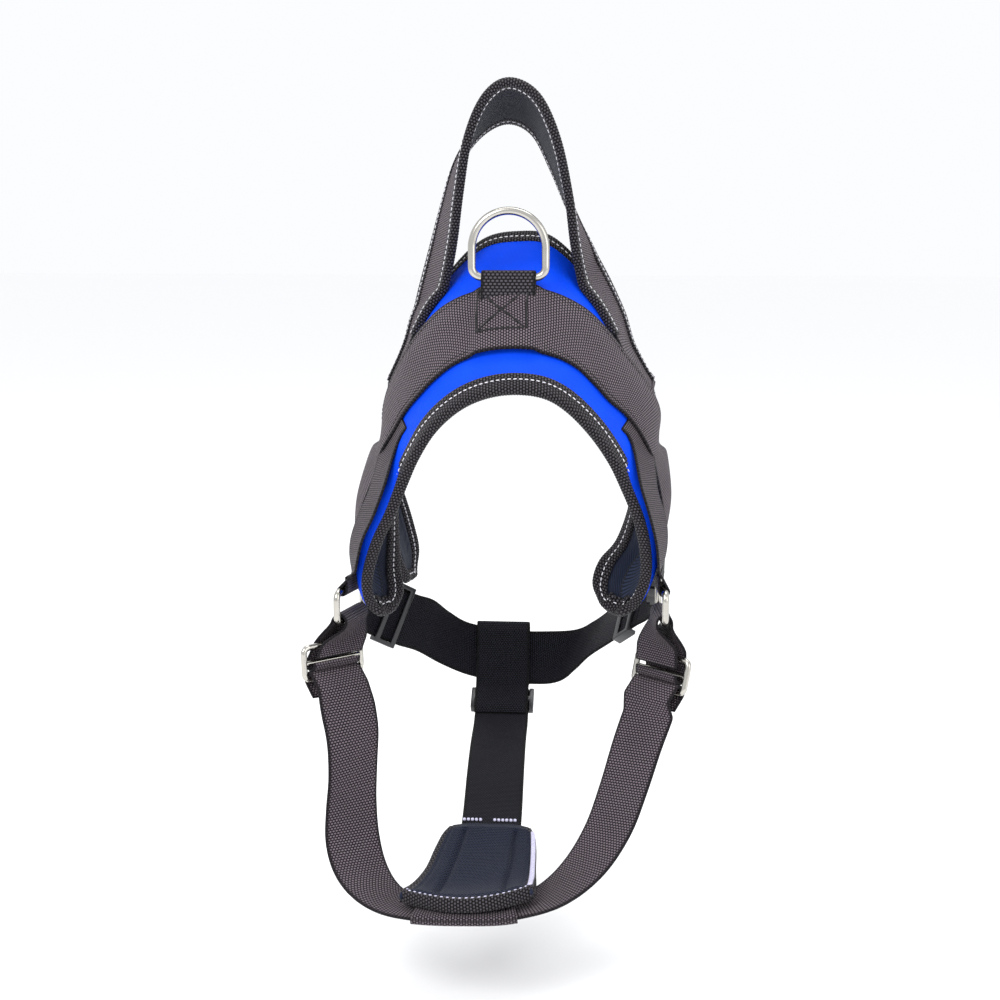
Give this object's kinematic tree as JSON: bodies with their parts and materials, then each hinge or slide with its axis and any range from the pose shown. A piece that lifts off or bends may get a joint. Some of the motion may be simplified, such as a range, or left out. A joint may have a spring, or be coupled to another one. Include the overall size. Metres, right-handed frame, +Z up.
{
  "type": "no pull harness",
  "caption": "Padded no-pull dog harness with saddle, grab handle, leash ring, side-release girth straps, chest strap and chest pad.",
  "frame": {"origin": "underside of the saddle at its middle, where it rests on the back", "axes": "-Y towards the neck, +Z up, +X to the left of the animal wearing it"},
  "size_m": [0.2513, 0.2766, 0.5124],
  "materials": {
    "blue_shell": "matt",
    "foam": "matt",
    "navy_mesh": "matt",
    "black_binding": "satin",
    "grey_webbing": "satin",
    "black_webbing": "satin",
    "black_plastic": "satin",
    "nickel": "polished"
  },
  "bodies": {
    "saddle": {"anchor_loop_left": "grey_webbing", "anchor_loop_right": "grey_webbing", "anchor_webbing_left": "grey_webbing", "anchor_webbing_right": "grey_webbing", "buckle_housing_left": "black_plastic", "buckle_housing_right": "black_plastic", "buckle_webbing_left": "grey_webbing", "buckle_webbing_right": "grey_webbing", "centre_strap": "black_webbing", "chest_pad_binding": "black_binding", "chest_pad_cover": "navy_mesh", "chest_pad_foam": "foam", "chest_pad_lining": "navy_mesh", "chest_strap": "grey_webbing", "chest_strap_end_left": "grey_webbing", "chest_strap_end_right": "grey_webbing", "connector_left": "grey_webbing", "connector_right": "grey_webbing", "cross_webbing": "grey_webbing", "girth_loop": "black_webbing", "girth_strap": "black_webbing", "girth_tongue_left": "navy_mesh", "girth_tongue_lining_left": "navy_mesh", "girth_tongue_lining_right": "navy_mesh", "girth_tongue_right": "navy_mesh", "handle_root_left": "grey_webbing", "handle_root_right": "grey_webbing", "leash_tab": "grey_webbing", "neck_binding": "black_binding", "rear_binding": "black_binding", "saddle_foam": "foam", "saddle_lining": "navy_mesh", "saddle_shell": "blue_shell", "strap_keeper": "grey_webbing"},
    "handle": {"handle_webbing": "grey_webbing", "handle_lining": "navy_mesh", "handle_front_binding": "black_binding", "handle_rear_binding": "black_binding"},
    "leash_ring": {"leash_ring": "nickel"},
    "side_ring_left": {"side_ring_left": "nickel"},
    "side_ring_right": {"side_ring_right": "nickel"},
    "chest_adjuster_left": {"chest_adjuster_left": "nickel"},
    "chest_adjuster_right": {"chest_adjuster_right": "nickel"},
    "centre_slider": {"centre_slider": "black_plastic"},
    "girth_slider_left": {"girth_slider_left": "black_plastic"},
    "girth_slider_right": {"girth_slider_right": "black_plastic"},
    "buckle_plug_left": {"buckle_plug_left": "black_plastic", "buckle_prongs_left": "black_plastic", "plug_webbing_left": "grey_webbing"},
    "buckle_plug_right": {"buckle_plug_right": "black_plastic", "buckle_prongs_right": "black_plastic", "plug_webbing_right": "grey_webbing"}
  },
  "joints": [
    {"name": "handle_fold", "type": "hinge", "parent": "saddle", "child": "handle", "pos_m": [0, 0.06, 0.011], "axis": [1, 0, 0], "range_deg": [-30, 30]},
    {"name": "leash_ring_swing", "type": "hinge", "parent": "saddle", "child": "leash_ring", "pos_m": [-0.001, 0.01264, 0.02992], "axis": [1, 0, 0], "range_deg": [-45, 95]},
    {"name": "side_ring_left_swing", "type": "hinge", "parent": "saddle", "child": "side_ring_left", "pos_m": [-0.104, -0.006, -0.171], "axis": [-0.2496, -0.9684, 0], "range_deg": [-5, 5]},
    {"name": "chest_adjuster_left_tilt", "type": "hinge", "parent": "saddle", "child": "chest_adjuster_left", "pos_m": [-0.114, -0.018, -0.217], "axis": [-0.722, -0.6919, 0], "range_deg": [-5, 5]},
    {"name": "girth_slider_left_slide", "type": "slide", "parent": "saddle", "child": "girth_slider_left", "axis": [0.656, 0.615, -0.4376], "range_m": [-0.004, 0.004]},
    {"name": "buckle_left_release", "type": "slide", "parent": "saddle", "child": "buckle_plug_left", "axis": [0.0499, 0.5993, -0.799], "range_m": [0, 0.015], "deforming": ["buckle_prongs_left"]},
    {"name": "side_ring_right_swing", "type": "hinge", "parent": "saddle", "child": "side_ring_right", "pos_m": [0.1, -0.005, -0.168], "axis": [0.1005, -0.9949, 0], "range_deg": [-5, 5]},
    {"name": "chest_adjuster_right_tilt", "type": "hinge", "parent": "saddle", "child": "chest_adjuster_right", "pos_m": [0.1, -0.017, -0.221], "axis": [0.722, -0.6919, 0], "range_deg": [-5, 5]},
    {"name": "girth_slider_right_slide", "type": "slide", "parent": "saddle", "child": "girth_slider_right", "axis": [0.5617, -0.6312, 0.5348], "range_m": [-0.004, 0.004]},
    {"name": "buckle_right_release", "type": "slide", "parent": "saddle", "child": "buckle_plug_right", "axis": [-0.0499, 0.5993, -0.799], "range_m": [0, 0.015], "deforming": ["buckle_prongs_right"]},
    {"name": "centre_slider_slide", "type": "slide", "parent": "saddle", "child": "centre_slider", "axis": [0, -0.8, -0.6], "range_m": [-0.004, 0.006]}
  ]
}
